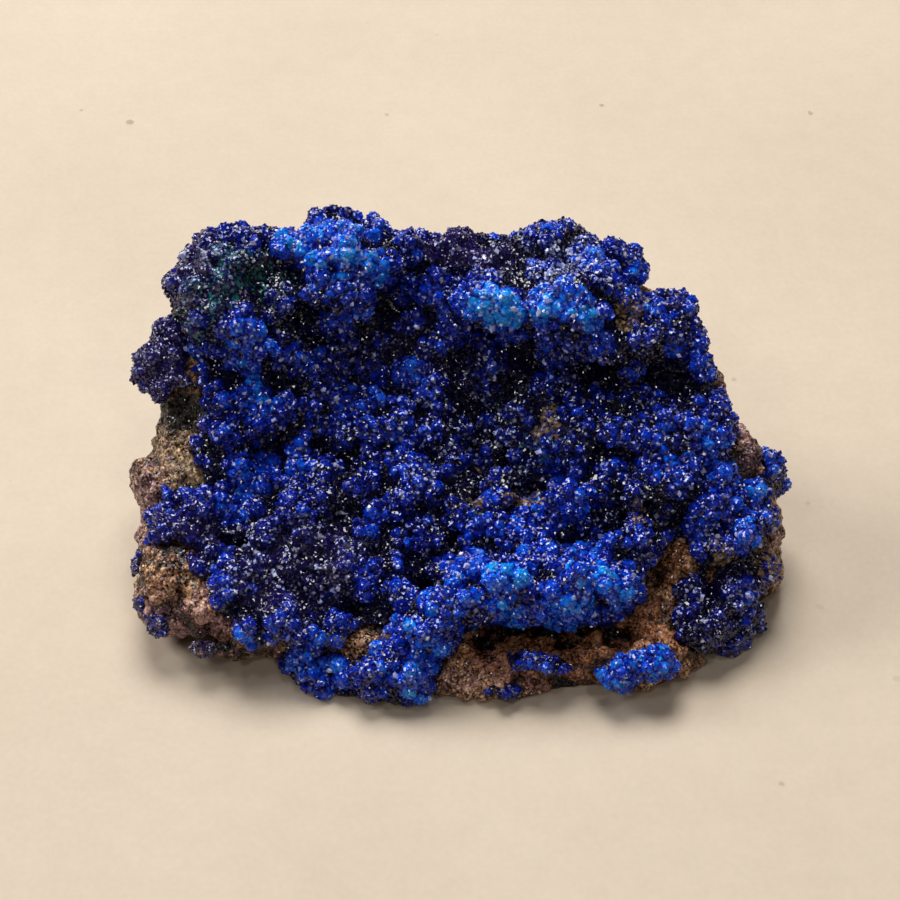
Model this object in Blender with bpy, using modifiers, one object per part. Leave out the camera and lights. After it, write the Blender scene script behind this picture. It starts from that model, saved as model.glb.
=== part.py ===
"""Azurite specimen: a druse of azurite crystals grown over a lump of brown iron-oxide rock.

The lump lies on a flat broken face. Its display face leans back from the front, and one crust
of azurite covers most of it. Six smaller growths stand apart from the crust, with bare rock
or a deep crease between. The origin is on the table under the middle of the whole piece, and
the front faces -Y.

Every lobe is an ellipsoid placed on the display face, in millimetres: across to the right,
up the slope, and out of the face, followed by its half sizes along the same directions.
"""

import math

import bmesh
import bpy
from mathutils import Matrix, Vector

MM = 0.001

FACE_LEAN = math.radians(45)  # angle between the display face and the table
FACE_HEIGHT = 23.5  # height of the face's middle above the table
GAP = 0.3  # clearance between a growth and the rock, or between two growths

ROCK_CELL = 1.0  # grain of the fused skin
ROCK_SOFTENING = 6  # smoothing steps that turn creases into saddles
ROCK_EDGE_SOFTENING = 2
ROCK_LUMP_SIZE = 7.0
ROCK_LUMP_HEIGHT = 2.2
ROCK_TRIANGLES = 3300

CRUST_CELL = 0.8
CRUST_SOFTENING = 3
CRUST_EDGE_SOFTENING = 1
CRUST_LUMP_SIZE = 3.5
CRUST_LUMP_HEIGHT = 1.6
CRUST_TRIANGLES = 3900
PATCH_TRIANGLES = 190

LOBE_DIVISIONS = 3
CUTTER_SIZE = 300.0
SHARP_ANGLE = math.radians(40)

ROCK_LOBES = (
    (-12, -3, -20.5, 31, 24, 10),  # slab under the basin
    (16, -4, -19.5, 25, 23, 9.5),  # slab under the right half
    (-5, -12, -14, 28, 14, 8),  # core
    (-6, 2, -30, 27, 14, 10),  # lower back
    (-15, 16, -21.5, 23, 12, 10.5),  # back wall, left
    (12, 15, -21, 22, 11, 10),  # back wall, right
    (-30, 18, -17, 10, 9, 9),  # root of the upper left dome
    (-19, 23, -16, 16, 6, 7),  # rib behind the crest
    (14, 21.5, -15.5, 17, 6, 7),  # rib behind the upper right block
    (28.5, 8, -18, 12, 12, 10.5),  # right flank, upper
    (35.5, -6, -16, 10.5, 13, 11),  # right flank, middle
    (33, -15, -14, 11.5, 10, 10),  # right flank, lower
    (24, -24, -9, 10, 6, 8),  # lower right edge
    (-38, -4, -13, 8, 6.5, 8),  # brown bulge on the left
    (-36, 6, -14, 7, 9, 8),  # neck below the left lobe
    (-37, -13, -10, 8, 8, 7),  # left edge
    (-38, -17, -5, 6.5, 6.5, 6),  # lower left corner
    (-34, -20.5, -3, 7, 5, 5),
    (-40, -21, -5, 4, 4, 5),
    (-29, -24, -1.5, 8, 4, 4),
    (-21, -22, -9, 12, 7, 7),  # lower left rim
    (2, -31, -4.5, 14, 3.5, 6),  # front sill below the cavity
    (10, -28, -7, 16, 6, 8),
    (10, -20, -11, 14, 8, 9),  # floor of the cavity
    (22, -27, -5, 11, 5, 8),  # front sill, right
    (-12, -26, -7, 12, 6, 8),  # foot under the front lobe
)
ROCK_PITS = (
    (3, -23.3, 1, 6, 2.4, 5),  # long cavity under the light ridge
    (12, -24, 1, 8, 2.6, 5),
    (20, -23.2, 1, 6, 2.2, 5),
    (27.5, -17, 1.5, 3.2, 6, 6),  # bare hollow right of the ridge
    (-34, -24.6, 3, 3.6, 1.6, 6),  # hole in the lower left rim
)
# Broken faces: the way the face looks, turned from the front towards the right, its rise
# above level, and its distance from the origin.
ROCK_BREAKS = (
    (160, 2, 33),  # back, right of the middle
    (203, 12, 35),  # back, left of the middle
    (120, 5, 40),  # back right corner
    (-70, -35, 35),  # undercut on the left
    (60, -30, 36),  # undercut on the right
)

CRUST_LOBES = (
    (-32.5, 21.5, -8, 7.5, 8, 7),  # big upper left dome
    (-31, 27, -9, 6, 4.5, 5),
    (-24, 25, -8, 6, 5.5, 6),
    (-27, 17, -8, 7, 6, 6),
    (-37, 21, -10, 4, 6, 5),
    (-16, 27, -7.5, 7.5, 5, 6),  # crest
    (-16.5, 31.3, -9, 5, 3, 3.2),
    (-9.5, 28, -9, 4, 3, 3.5),
    (-17, 22, -7.5, 8, 4.5, 5.5),
    (-5, 26, -13, 6, 4.5, 5),  # saddle
    (0.5, 28.5, -13, 4, 3.5, 4),  # dark knob in the saddle
    (-3, 20, -13, 7, 6, 5),
    (7, 27, -10, 5, 4, 5),  # upper right block
    (13.5, 28.5, -10, 5, 4, 5),
    (20, 25.5, -9, 5, 4.5, 5),
    (6, 21, -6.5, 7, 4.5, 6),  # light band
    (15, 20, -5.5, 9, 5.5, 6),
    (22, 16, -7, 7, 5.5, 6),
    (28.5, 17.5, -10, 4.5, 5, 5),  # right shoulder
    (30.5, 12, -10, 4.5, 6, 5.5),
    (24, 9, -12, 9, 6, 6),  # shaded recess below the block
    (12, 11, -13, 12, 7, 6),
    (33, 3, -10, 5, 7, 6),  # right field
    (30, 2, -8.5, 9, 7, 6.5),
    (38.3, -6, -10.5, 5, 5.5, 6),
    (41, -3.5, -11.5, 3.8, 4.2, 5),
    (21, 1, -9, 9, 7, 6.5),
    (11, 3, -11, 9, 7, 6.5),
    (15, -6.5, -4, 4.5, 3.5, 5),  # lump standing over the small holes
    (25, -6, -6.5, 7, 5, 6),
    (33, -6.5, -8, 8, 6, 6),
    (23, -11.5, -3, 4.5, 4, 5),
    (18.5, -17.5, -1.5, 5.8, 5, 6),  # light ridge
    (13, -17.5, -0.5, 6, 5, 6),
    (6, -17.5, -0.5, 6, 4.5, 6),
    (0, -19, -0.5, 5, 4.5, 6),
    (-5, -23, -1, 5, 5, 6),
    (-9, -29, -2, 7, 5, 6),  # front lobe
    (-17, -29, -3, 6.5, 4, 5),
    (-20, -23.5, -3.5, 8, 5, 5.5),
    (-27, -22, -0.5, 5, 4.5, 5),
    (-10, -20, -5, 10, 6, 6),
    (-18, 15, -14.5, 15, 8, 7),  # basin, from back to front
    (-3, 12, -15, 12, 8, 7),
    (-24, 6, -12, 10, 9, 7),
    (-10, 3, -13, 14, 9, 7),
    (-20, -9, -8.5, 11, 9, 7),
    (-8, -7, -10.5, 14, 8, 7),
    (-27, -15, -6, 8, 8, 6.5),
    (-15, -16, -6.5, 12, 7, 7),
    (4, -8, -8.5, 9, 7, 6.5),
    (9, -12.5, -4.5, 9, 4, 5),
    (0, -14, -5.5, 7, 4, 5.5),
    (-33, 8, -11, 5, 8, 6),  # left margin
    (-33, -1, -9.5, 4.5, 9, 6),
    (-37, -11, -6.5, 6, 7, 5.5),
    (-39.5, -6, -7.5, 2.5, 3, 4),
    (-37.5, -14.5, -4.5, 5.5, 5, 5),
    (-40.5, -12.5, -5.5, 3, 4, 4),
    (-35, -17.5, -2.5, 4.5, 3, 4),
    (-39.3, -17, -4, 3.6, 3.2, 3.6),
    (-35, -20, -2, 3, 2.6, 3.6),
    (-31, -19.5, -2, 4.5, 5.5, 5),
    (36.5, -13, -8.5, 7.3, 9, 6.5),  # lower right field
    (34, -21, -7.5, 7, 6.5, 6.5),
    (30, -24.5, -5, 5.5, 4, 5.5),
)
CRUST_PITS = (
    (-3, -14, 1, 2.4, 1.4, 6),  # holes behind the ridge
    (-1, -11, 0, 1.6, 1.2, 5),
    (5.5, -5.5, 0, 2.4, 1, 5),  # row of small holes
    (20.5, -9.3, 3, 2.2, 0.9, 6),
    (10, 4, -4, 3.2, 2.2, 3),  # olive hollow
    (-30.5, -11, 0, 2.6, 1.1, 4),  # olive hole in the left field
    (-36, -4, -1, 1.6, 2.4, 6),  # bare notch at the left margin
    (-38.8, -23, 3, 3.4, 2.8, 4.5),  # bare rock in the lower left corner
    (44.6, -12.5, -6, 2.8, 5.5, 6),  # bare rock at the right edge
    (-33, -24.5, 5, 4, 3, 6),
)

LEFT_LOBE = (
    (-39.8, 15.3, -11, 3.8, 4.2, 5),
    (-42.2, 12, -11, 3.6, 3.8, 4.5),
    (-39.5, 9.8, -10.5, 3.6, 3.2, 4.5),
)
LEFT_EDGE_STREAK = (
    (-43.4, -15.5, -5.5, 2, 3, 3.5),
    (-43, -19, -3.5, 1.9, 3.5, 3.5),
    (-40.8, -22.8, -2, 2, 3, 3),
)
RIM_PATCH = ((-34.5, -25.9, -0.8, 2.7, 1.3, 3),)
LEDGE_PATCH = (
    (8, -27.3, 1.6, 2.8, 1.6, 2.6),
    (12, -28, 2, 3.2, 1.7, 2.6),
)
LOWER_RIM_PATCH = ((5.5, -31.6, 0.7, 3.8, 1.6, 2.6),)
FOOT_CLUSTER = (
    (20.8, -29, 1.5, 3, 2.6, 3.4),
    (25.2, -27.5, 1.5, 3.6, 2.6, 3.4),
)

ROCK_ROUGHNESS = 0.85
DRUSE_ROUGHNESS = 0.3
PATCH_ROUGHNESS = 0.4


def clear_scene():
    for obj in list(bpy.data.objects):
        bpy.data.objects.remove(obj)


def new_collection(name):
    made = bpy.data.collections.new(name)
    bpy.context.scene.collection.children.link(made)
    return made


def face_frame():
    """The display face's frame, in metres: X across, Y up the slope, Z out of the face."""
    middle = Matrix.Translation((0, 0, FACE_HEIGHT * MM))
    return middle @ Matrix.Rotation(FACE_LEAN, 4, "X")


def object_of(name, bm, where):
    mesh = bpy.data.meshes.new(name)
    bm.to_mesh(mesh)
    bm.free()
    obj = bpy.data.objects.new(name, mesh)
    where.objects.link(obj)
    return obj


def lobes_object(name, lobes, where):
    """All the lobes as overlapping ellipsoids in one mesh."""
    bm = bmesh.new()
    for across, up, out, half_across, half_up, half_out in lobes:
        place = Matrix.Translation(Vector((across, up, out)) * MM)
        size = Matrix.Diagonal((half_across * MM, half_up * MM, half_out * MM, 1))
        matrix = face_frame() @ place @ size
        bmesh.ops.create_icosphere(bm, subdivisions=LOBE_DIVISIONS, radius=1, matrix=matrix)
    return object_of(name, bm, where)


def half_space(name, turn, rise, distance, where):
    """A cutter for everything beyond a plane. A turn of 0 looks to the front, 90 to the right."""
    turned = Matrix.Rotation(math.radians(turn), 4, "Z")
    raised = Matrix.Rotation(math.radians(-rise), 4, "X")
    beyond = Matrix.Translation((0, -(distance + CUTTER_SIZE / 2) * MM, 0))
    bm = bmesh.new()
    bmesh.ops.create_cube(bm, size=CUTTER_SIZE * MM, matrix=turned @ raised @ beyond)
    return as_cutter(object_of(name, bm, where))


def as_cutter(obj):
    obj.hide_render = True
    obj.display_type = "WIRE"
    return obj


def apply_modifiers(obj):
    """Replaces the object's mesh by what its modifiers make of it."""
    graph = bpy.context.evaluated_depsgraph_get()
    made = bpy.data.meshes.new_from_object(obj.evaluated_get(graph))
    obj.modifiers.clear()
    obj.data = made


def fuse(obj, cell, softening):
    """Joins overlapping lobes in one closed skin and rounds the creases."""
    remesh = obj.modifiers.new("fuse", "REMESH")
    remesh.mode = "VOXEL"
    remesh.voxel_size = cell * MM
    smooth = obj.modifiers.new("soften", "SMOOTH")
    smooth.factor = 0.5
    smooth.iterations = softening
    apply_modifiers(obj)


def roughen(obj, size, height):
    """Moves the skin in and out in lumps of about that size and height."""
    texture = bpy.data.textures.new(obj.name, "CLOUDS")
    texture.noise_scale = size * MM
    displace = obj.modifiers.new("lumps", "DISPLACE")
    displace.texture = texture
    displace.texture_coords = "LOCAL"
    displace.strength = height * MM
    displace.mid_level = 0.5
    apply_modifiers(obj)


def thin_out(obj, triangles):
    """Reduces the mesh to about that many triangles."""
    obj.data.calc_loop_triangles()
    decimate = obj.modifiers.new("thin", "DECIMATE")
    decimate.ratio = min(1.0, triangles / len(obj.data.loop_triangles))
    decimate.use_collapse_triangulate = True
    apply_modifiers(obj)


def cut(obj, cutter, solver="EXACT"):
    """Takes the cutter away."""
    boolean = obj.modifiers.new("cut", "BOOLEAN")
    boolean.operation = "DIFFERENCE"
    boolean.solver = solver
    boolean.object = cutter
    apply_modifiers(obj)


def grown(obj, by, where):
    """A cutter: a copy of the object with its skin moved out by that much."""
    copy = bpy.data.objects.new(obj.name + "_with_gap", obj.data.copy())
    where.objects.link(copy)
    displace = copy.modifiers.new("gap", "DISPLACE")
    displace.strength = by * MM
    displace.mid_level = 0.0
    apply_modifiers(copy)
    return as_cutter(copy)


def bodies_of(bm):
    """The mesh's faces, grouped by the body that they belong to."""
    left = set(bm.faces)
    bodies = []
    while left:
        front = [left.pop()]
        body = set(front)
        while front:
            near = {face for edge in front.pop().edges for face in edge.link_faces} & left
            left -= near
            body |= near
            front.extend(near)
        bodies.append(body)
    return bodies


def keep_largest(obj):
    """Drops the crumbs that a cut leaves, and keeps the one large body."""
    bm = bmesh.new()
    bm.from_mesh(obj.data)
    bodies = bodies_of(bm)
    largest = max(bodies, key=lambda body: sum(face.calc_area() for face in body))
    crumbs = [face for face in bm.faces if face not in largest]
    bmesh.ops.delete(bm, geom=crumbs, context="FACES")
    bm.to_mesh(obj.data)
    bm.free()


def settle(obj, taken, table, cutters):
    """Cuts the piece to the space that is left, notes its own space, and cuts it at the table.

    A grown skin crosses itself in the creases, which the EXACT solver can't take.
    """
    for cutter in taken:
        cut(obj, cutter, "MANIFOLD")
    keep_largest(obj)
    taken.append(grown(obj, GAP, cutters))
    cut(obj, table)
    keep_largest(obj)


def dress(obj, colour, roughness):
    """Gives the piece a material of its own and shades its round skin smooth."""
    material = bpy.data.materials.new(obj.name)
    material.use_nodes = True
    shader = material.node_tree.nodes["Principled BSDF"]
    shader.inputs["Base Color"].default_value = (*colour, 1)
    shader.inputs["Roughness"].default_value = roughness
    shader.inputs["Metallic"].default_value = 0
    obj.data.materials.clear()
    obj.data.materials.append(material)
    obj.data.shade_smooth()
    obj.data.set_sharp_from_angle(angle=SHARP_ANGLE)


def make_rock(parts, cutters):
    """The brown rock, before it is cut at the table."""
    rock = lobes_object("matrix", ROCK_LOBES, parts)
    fuse(rock, ROCK_CELL, ROCK_SOFTENING)
    for number, (turn, rise, distance) in enumerate(ROCK_BREAKS):
        cut(rock, half_space(f"break_{number}", turn, rise, distance, cutters))
    cut(rock, fused_pits("rock_pits", ROCK_PITS, ROCK_CELL, cutters))
    fuse(rock, ROCK_CELL, ROCK_EDGE_SOFTENING)
    roughen(rock, ROCK_LUMP_SIZE, ROCK_LUMP_HEIGHT)
    thin_out(rock, ROCK_TRIANGLES)
    return rock


def fused_pits(name, lobes, cell, cutters):
    pits = lobes_object(name, lobes, cutters)
    fuse(pits, cell, 1)
    return as_cutter(pits)


def make_growth(name, lobes, triangles, parts):
    """A growth of azurite, still running on into the rock."""
    growth = lobes_object(name, lobes, parts)
    fuse(growth, CRUST_CELL, CRUST_SOFTENING)
    roughen(growth, CRUST_LUMP_SIZE, CRUST_LUMP_HEIGHT)
    thin_out(growth, triangles)
    return growth


def make_main_druse(parts, cutters):
    """The one large crust, with the small holes where the rock shows."""
    druse = lobes_object("main_druse", CRUST_LOBES, parts)
    fuse(druse, CRUST_CELL, CRUST_SOFTENING)
    cut(druse, fused_pits("druse_pits", CRUST_PITS, CRUST_CELL, cutters))
    fuse(druse, CRUST_CELL, CRUST_EDGE_SOFTENING)
    roughen(druse, CRUST_LUMP_SIZE, CRUST_LUMP_HEIGHT)
    thin_out(druse, CRUST_TRIANGLES)
    return druse


def centre_on_base(parts, cutters):
    """Moves everything sideways, so that the origin is under the middle of the finished pieces."""
    corners = [vertex.co for obj in parts.objects for vertex in obj.data.vertices]
    middle = [(min(c[i] for c in corners) + max(c[i] for c in corners)) / 2 for i in (0, 1)]
    shift = Matrix.Translation((-middle[0], -middle[1], 0))
    for obj in (*parts.objects, *cutters.objects):
        obj.data.transform(shift)


def main():
    clear_scene()
    parts = new_collection("azurite_specimen")
    cutters = new_collection("cutters")
    table = half_space("below_table", 0, -90, 0, cutters)
    taken = []

    rock = make_rock(parts, cutters)
    settle(rock, taken, table, cutters)
    dress(rock, (0.20, 0.105, 0.055), ROCK_ROUGHNESS)

    druse = make_main_druse(parts, cutters)
    settle(druse, taken, table, cutters)
    dress(druse, (0.01, 0.03, 0.30), DRUSE_ROUGHNESS)

    patches = (
        ("left_lobe_druse", LEFT_LOBE, (0.03, 0.025, 0.13)),
        ("left_edge_streak", LEFT_EDGE_STREAK, (0.04, 0.08, 0.38)),
        ("rim_patch", RIM_PATCH, (0.07, 0.05, 0.17)),
        ("ledge_patch", LEDGE_PATCH, (0.02, 0.07, 0.42)),
        ("lower_rim_patch", LOWER_RIM_PATCH, (0.02, 0.06, 0.24)),
        ("foot_cluster", FOOT_CLUSTER, (0.015, 0.10, 0.60)),
    )
    for name, lobes, colour in patches:
        patch = make_growth(name, lobes, PATCH_TRIANGLES, parts)
        settle(patch, taken, table, cutters)
        dress(patch, colour, PATCH_ROUGHNESS)

    centre_on_base(parts, cutters)


main()
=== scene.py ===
import math

import bmesh
import bpy
import numpy as np
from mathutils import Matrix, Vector, kdtree


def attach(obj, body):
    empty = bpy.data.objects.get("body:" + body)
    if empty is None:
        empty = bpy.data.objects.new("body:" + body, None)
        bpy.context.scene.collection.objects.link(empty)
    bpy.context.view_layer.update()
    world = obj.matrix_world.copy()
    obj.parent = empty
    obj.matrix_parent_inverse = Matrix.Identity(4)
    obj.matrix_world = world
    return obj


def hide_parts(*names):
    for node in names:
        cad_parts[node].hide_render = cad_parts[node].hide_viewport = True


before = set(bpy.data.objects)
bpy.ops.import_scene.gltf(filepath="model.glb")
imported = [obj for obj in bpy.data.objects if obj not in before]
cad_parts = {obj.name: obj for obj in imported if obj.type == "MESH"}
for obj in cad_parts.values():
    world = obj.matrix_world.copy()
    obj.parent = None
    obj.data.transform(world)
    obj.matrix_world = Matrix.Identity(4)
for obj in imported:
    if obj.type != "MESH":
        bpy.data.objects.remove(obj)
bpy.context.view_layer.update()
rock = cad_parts["matrix"]
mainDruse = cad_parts["main_druse"]

mm = 0.001
faceLean = math.radians(45)  # lean of the display face
faceMiddle = np.array((0.00066, -0.00487, 0.0235))  # middle of the display face


# One output of a node, which takes part in Python sums.
class Wire:
    def __init__(self, graph, socket):
        self.graph = graph
        self.socket = socket

    def other(self, name):
        return Wire(self.graph, self.socket.node.outputs[name])

    def __add__(self, value):
        return self.graph.sum("ADD", self, value)

    def __radd__(self, value):
        return self.graph.sum("ADD", value, self)

    def __sub__(self, value):
        return self.graph.sum("SUBTRACT", self, value)

    def __rsub__(self, value):
        return self.graph.sum("SUBTRACT", value, self)

    def __mul__(self, value):
        return self.graph.sum("MULTIPLY", self, value)

    def __rmul__(self, value):
        return self.graph.sum("MULTIPLY", value, self)

    def __truediv__(self, value):
        return self.graph.sum("DIVIDE", self, value)

    def __rtruediv__(self, value):
        return self.graph.sum("DIVIDE", value, self)

    def __pow__(self, value):
        return self.graph.sum("POWER", self, value)


# A node tree of any kind, with one way to add a node.
class Graph:
    def __init__(self, tree):
        self.tree = tree

    def node(self, kind, settings=None, values=None, out=0):
        made = self.tree.nodes.new(kind)
        for name, value in (settings or {}).items():
            if name == "stops":
                self.setStops(made.color_ramp, value)
            else:
                setattr(made, name, value)
        for key, value in (values or {}).items():
            if isinstance(value, Wire):
                self.tree.links.new(value.socket, made.inputs[key])
            else:
                made.inputs[key].default_value = value
        return Wire(self, made.outputs[out]) if made.outputs else None

    def setStops(self, ramp, stops):
        while len(ramp.elements) < len(stops):
            ramp.elements.new(0.5)
        for element, (place, colour) in zip(ramp.elements, stops):
            element.position = place
            element.color = (*colour, 1)

    def sum(self, operation, first, second=0.0):
        return self.node("ShaderNodeMath", {"operation": operation}, {0: first, 1: second})

    def vector(self, operation, first, second=None, scale=None):
        values = {0: first}
        if second is not None:
            values[1] = second
        if scale is not None:
            values["Scale"] = scale
        return self.node("ShaderNodeVectorMath", {"operation": operation}, values)

    def ease(self, value, start, end, low=0.0, high=1.0):
        return self.node(
            "ShaderNodeMapRange",
            {"interpolation_type": "SMOOTHSTEP"},
            {"Value": value, "From Min": start, "From Max": end, "To Min": low, "To Max": high},
        )

    def blend(self, factor, first, second, how="MIX"):
        settings = {"data_type": "RGBA", "blend_type": how, "clamp_factor": True}
        return self.node("ShaderNodeMix", settings, {0: factor, 6: first, 7: second}, out=2)

    def noise(self, place, size, detail=2.0, out=0):
        values = {"Vector": place, "Scale": 1 / size, "Detail": detail}
        return self.node("ShaderNodeTexNoise", None, values, out)

    def random(self, low, high, seed):
        settings = {"data_type": "FLOAT"}
        return self.node("FunctionNodeRandomValue", settings, {2: low, 3: high, "Seed": seed}, 1)

    def nearTo(self, thing):
        settings = {"transform_space": "ORIGINAL"}
        shape = self.node("GeometryNodeObjectInfo", settings, {0: thing}, "Geometry")
        settings = {"target_element": "FACES"}
        return self.node("GeometryNodeProximity", settings, {0: shape}, "Distance")

    def stored(self, name):
        settings = {"data_type": "FLOAT"}
        return self.node("GeometryNodeInputNamedAttribute", settings, {"Name": name}, "Attribute")

    def keepNumber(self, geometry, name, value, domain="INSTANCE", kind="FLOAT"):
        settings = {"data_type": kind, "domain": domain}
        values = {"Geometry": geometry, "Name": name, "Value": value}
        return self.node("GeometryNodeStoreNamedAttribute", settings, values)


def newPiece(name, mesh):
    piece = bpy.data.objects.new(name, mesh)
    bpy.context.scene.collection.objects.link(piece)
    return piece


def copyOfNode(node, name):
    bm = bmesh.new()
    bm.from_mesh(node.data)
    bmesh.ops.remove_doubles(bm, verts=bm.verts, dist=1e-6)
    mesh = bpy.data.meshes.new(name)
    bm.to_mesh(mesh)
    bm.free()
    return newPiece(name, mesh)


def evaluatedMesh(piece):
    graph = bpy.context.evaluated_depsgraph_get()
    return bpy.data.meshes.new_from_object(piece.evaluated_get(graph))


def applyModifiers(piece):
    made = evaluatedMesh(piece)
    piece.modifiers.clear()
    piece.data = made


def remeshed(piece, cell, softening):
    remesh = piece.modifiers.new("remesh", "REMESH")
    remesh.mode = "VOXEL"
    remesh.voxel_size = cell
    smooth = piece.modifiers.new("smooth", "SMOOTH")
    smooth.factor = 0.5
    smooth.iterations = softening
    applyModifiers(piece)


def triangleCount(piece):
    piece.data.calc_loop_triangles()
    return len(piece.data.loop_triangles)


def thinned(piece, triangles):
    decimate = piece.modifiers.new("thin", "DECIMATE")
    decimate.ratio = min(1, triangles / triangleCount(piece))
    decimate.use_collapse_triangulate = True
    applyModifiers(piece)


def geometryTree(name, inputs):
    tree = bpy.data.node_groups.new(name, "GeometryNodeTree")
    tree.interface.new_socket("Geometry", in_out="INPUT", socket_type="NodeSocketGeometry")
    for label, kind in inputs:
        tree.interface.new_socket(label, in_out="INPUT", socket_type="NodeSocket" + kind)
    tree.interface.new_socket("Geometry", in_out="OUTPUT", socket_type="NodeSocketGeometry")
    graph = Graph(tree)
    return graph, graph.node("NodeGroupInput")


def runTree(piece, tree, values):
    modifier = piece.modifiers.new(tree.name, "NODES")
    modifier.node_group = tree
    for item in tree.interface.items_tree:
        if item.in_out == "INPUT" and item.name in values:
            modifier[item.identifier] = values[item.name]
    made = evaluatedMesh(piece)
    piece.modifiers.clear()
    return made


# How the lumps are rounded, and where they fade out.
lumpShape = {
    "bendSize": 6 * mm,
    "bend": 2.5 * mm,
    "randomness": 0.9,
    "top": 0.6,
    "fall": 1.3,
    "still": 0.4,  # share of the reach in which nothing moves
    "fadeFrom": 0.1 * mm,  # height over the table
    "fadeTo": 1.5 * mm,
}


# Round lumps and a fine grain, held back where the skin is close to its neighbour.
def lumpsTree():
    shape = lumpShape
    inputs = (
        ("Inset", "Float"),
        ("Big Cell", "Float"),
        ("Big Height", "Float"),
        ("Small Cell", "Float"),
        ("Small Height", "Float"),
        ("Grain Size", "Float"),
        ("Grain Height", "Float"),
        ("Hollow Depth", "Float"),
        ("Neighbour", "Object"),
        ("Reach", "Float"),
    )
    graph, start = geometryTree("lumps", inputs)
    position = graph.node("GeometryNodeInputPosition")
    normal = graph.node("GeometryNodeInputNormal")
    warp = graph.noise(position, shape["bendSize"], 1.0, "Color")
    bent = graph.vector("ADD", position, graph.vector("SCALE", warp, scale=shape["bend"]))

    def domes(cell, where):
        values = {"Vector": where, "Scale": 1 / cell, "Randomness": shape["randomness"]}
        distance = graph.node("ShaderNodeTexVoronoi", {"feature": "F1"}, values, "Distance")
        return shape["top"] - distance * distance * shape["fall"]

    grain = graph.noise(position, start.other("Grain Size"))
    lump = domes(start.other("Big Cell"), bent)
    height = (
        lump * start.other("Big Height")
        + domes(start.other("Small Cell"), position) * start.other("Small Height")
        + (grain - 0.5) * start.other("Grain Height")
        - start.other("Inset")
        - graph.stored("hollow") * start.other("Hollow Depth")
    )
    reach = start.other("Reach")
    parts = graph.node("ShaderNodeSeparateXYZ", None, {0: position})
    near = graph.nearTo(start.other("Neighbour"))
    overTable = graph.ease(parts.other("Z"), shape["fadeFrom"], shape["fadeTo"])
    free = graph.ease(near, reach * shape["still"], reach) * overTable
    offset = graph.vector("SCALE", normal, scale=height * free)
    kept = graph.keepNumber(start.other("Geometry"), "lump", lump / shape["top"], "POINT")
    moved = graph.node("GeometryNodeSetPosition", None, {"Geometry": kept, "Offset": offset})
    graph.node("NodeGroupOutput", None, {"Geometry": moved})
    return graph.tree


triesForEach = 4  # points tried for each one that is kept


# Points on the skin, clear of the neighbour and of the table.
def pointsOn(graph, start, lowest, share=1.0):
    spacing = start.other("Spacing")
    values = {
        "Mesh": start.other("Geometry"),
        "Distance Min": spacing,
        "Density Max": triesForEach / (spacing * spacing),
        "Density Factor": share,
        "Seed": start.other("Seed"),
    }
    settings = {"distribute_method": "POISSON"}
    points = graph.node("GeometryNodeDistributePointsOnFaces", settings, values, "Points")
    place = graph.node("ShaderNodeSeparateXYZ", None, {0: graph.node("GeometryNodeInputPosition")})
    near = graph.nearTo(start.other("Neighbour"))
    keep = (
        graph.sum("GREATER_THAN", near, start.other("Clear"))
        * graph.sum("GREATER_THAN", place.other("Z"), lowest)
        * graph.sum("GREATER_THAN", place.other("X"), start.other("From X"))
        * graph.sum("LESS_THAN", place.other("X"), start.other("To X"))
    )
    values = {"Geometry": points, "Selection": graph.sum("LESS_THAN", keep, 0.5)}
    kept = graph.node("GeometryNodeDeleteGeometry", {"domain": "POINT"}, values)
    return kept, points.other("Rotation")


placingInputs = (
    ("Spacing", "Float"),
    ("Seed", "Int"),
    ("From X", "Float"),
    ("To X", "Float"),
    ("Neighbour", "Object"),
    ("Clear", "Float"),
)


def randomTurn(graph, seed, lean):
    values = {
        "X": graph.random(-1.0, 1.0, seed + 1) * lean,
        "Y": graph.random(-1.0, 1.0, seed + 2) * lean,
        "Z": graph.random(0.0, 2 * math.pi, seed + 3),
    }
    angles = graph.node("ShaderNodeCombineXYZ", None, values)
    return graph.node("FunctionNodeEulerToRotation", None, {0: angles})


# Sets a random one of the shapes on each point and keeps its place and a random number.
def setOn(graph, points, shapes, turn, scale, seed):
    kinds = graph.node("GeometryNodeGeometryToInstance")
    for shape in shapes:
        graph.tree.links.new(shape.socket, kinds.socket.node.inputs[0])
    values = {4: 0, 5: len(shapes) - 1, "Seed": seed + 5}
    kind = graph.node("FunctionNodeRandomValue", {"data_type": "INT"}, values, 2)
    values = {
        "Points": points,
        "Instance": kinds,
        "Pick Instance": True,
        "Instance Index": kind,
        "Rotation": turn,
        "Scale": scale,
    }
    placed = graph.node("GeometryNodeInstanceOnPoints", None, values)
    tossed = graph.keepNumber(placed, "toss", graph.random(0.0, 1.0, seed + 6))
    here = graph.node("GeometryNodeInputPosition")
    return graph.keepNumber(tossed, "seat", here, kind="FLOAT_VECTOR")


noduleShape = {
    "lowest": 0.6 * mm,  # height over the table
    "turn": 3.0,
    "lightGrowth": 0.6,  # light zones are covered further into the gaps
    "edge": 0.08,
    "coarseFewer": 0.5,
    "coarseLarger": 0.5,
    "mostlySmall": 1.5,
    "squash": (0.85, 1.15),
}


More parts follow.
